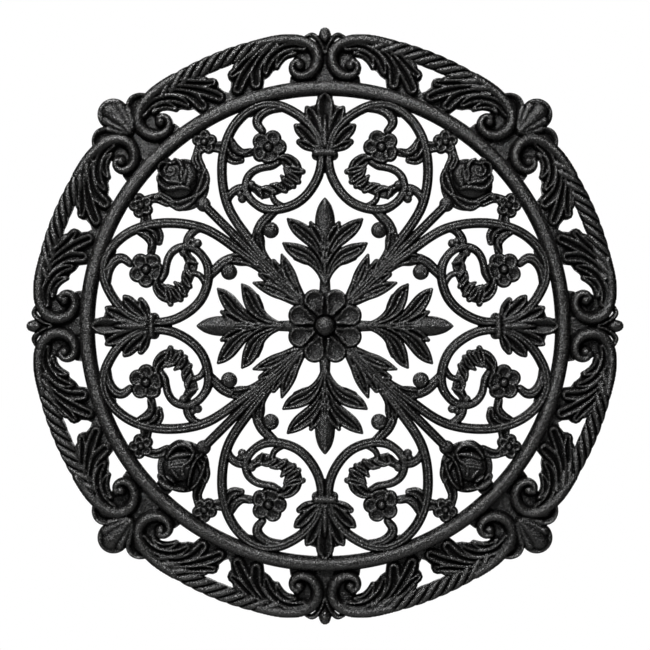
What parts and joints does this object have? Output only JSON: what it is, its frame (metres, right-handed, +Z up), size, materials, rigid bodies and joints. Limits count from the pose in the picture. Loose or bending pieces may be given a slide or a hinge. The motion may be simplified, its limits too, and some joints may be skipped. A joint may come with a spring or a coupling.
{
  "type": "wall medallion",
  "caption": "Round openwork wall medallion of black cast metal, with a rope rim, scrolled cartouches, vine loops, flowers and roses around a leafed rosette.",
  "frame": {"origin": "centre of the flat back, behind the central boss, where it lies on the wall", "axes": "+X to the viewer's right, +Y into the wall, +Z up; the relief faces -Y"},
  "size_m": [0.5958, 0.016, 0.5958],
  "materials": {
    "medallion": "satin black paint over cast metal"
  },
  "bodies": {
    "root": {"medallion": "medallion"}
  },
  "joints": []
}
